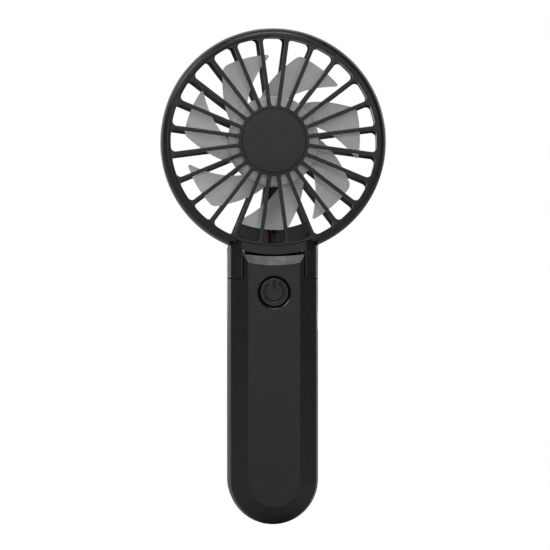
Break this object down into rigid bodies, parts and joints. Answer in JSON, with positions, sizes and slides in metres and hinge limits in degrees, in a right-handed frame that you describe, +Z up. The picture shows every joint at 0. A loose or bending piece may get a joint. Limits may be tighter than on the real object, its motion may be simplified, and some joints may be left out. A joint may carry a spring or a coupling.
{
  "type": "handheld folding fan",
  "caption": "Slim battery fan with a round grille head that folds back on a long round-ended handle.",
  "frame": {"origin": "under the middle of the handle's round lower end", "axes": "+Z up the handle to the head, front of the fan towards -Y, +X to the right of a viewer in front"},
  "size_m": [0.096, 0.025, 0.2113],
  "materials": {
    "satin_black": "fine-grained satin moulding",
    "button_black": "satin",
    "cap_grey": "matte",
    "frosted": "frosted translucent grey",
    "steel": "plain machined",
    "nickel": "nickel strip",
    "brass": "turned",
    "nylon": "natural nylon",
    "board_green": "solder mask",
    "black_plastic": "moulded",
    "cell_wrap": "shrink wrap",
    "red_insulation": "wire insulation",
    "black_insulation": "wire insulation"
  },
  "bodies": {
    "handle": {"handle_front_shell": "satin_black", "handle_rear_shell": "satin_black", "case_screw_1": "steel", "case_screw_2": "steel", "case_screw_3": "steel", "case_screw_4": "steel", "hinge_pin_left": "steel", "hinge_pin_right": "steel", "hinge_washer_left": "nylon", "hinge_washer_right": "nylon", "circuit_board": "board_green", "board_screw_1": "steel", "board_screw_2": "steel", "tact_switch": "black_plastic", "usb_socket": "steel", "battery_cell": "cell_wrap", "battery_tab_positive": "nickel", "battery_tab_negative": "nickel", "battery_wire_red": "red_insulation", "battery_wire_black": "black_insulation", "handle_lead_red": "red_insulation", "handle_lead_black": "black_insulation"},
    "head": {"front_grille": "satin_black", "front_rim": "satin_black", "grille_cap": "cap_grey", "head_band": "satin_black", "rear_grille": "satin_black", "rear_rim": "satin_black", "motor_can": "steel", "motor_end_bell": "black_plastic", "motor_terminal_1": "brass", "motor_terminal_2": "brass", "motor_screw_1": "steel", "motor_screw_2": "steel", "head_screw_1": "steel", "head_screw_2": "steel", "motor_wire_red": "red_insulation", "motor_wire_black": "black_insulation"},
    "rotor": {"impeller": "frosted", "hub_bush": "brass", "motor_shaft": "steel"},
    "button": {"power_button": "button_black"}
  },
  "joints": [
    {"name": "head_fold", "type": "hinge", "parent": "handle", "child": "head", "pos_m": [0, 0.006, 0.1117], "axis": [-1, 0, 0], "range_deg": [0, 90]},
    {"name": "rotor_spin", "type": "hinge", "parent": "head", "child": "rotor", "pos_m": [0, 0, 0.1633], "axis": [0, 1, 0], "continuous": true},
    {"name": "button_press", "type": "slide", "parent": "handle", "child": "button", "axis": [0, 1, 0], "range_m": [0, 0.0005], "stiffness_N_per_m": 600}
  ]
}
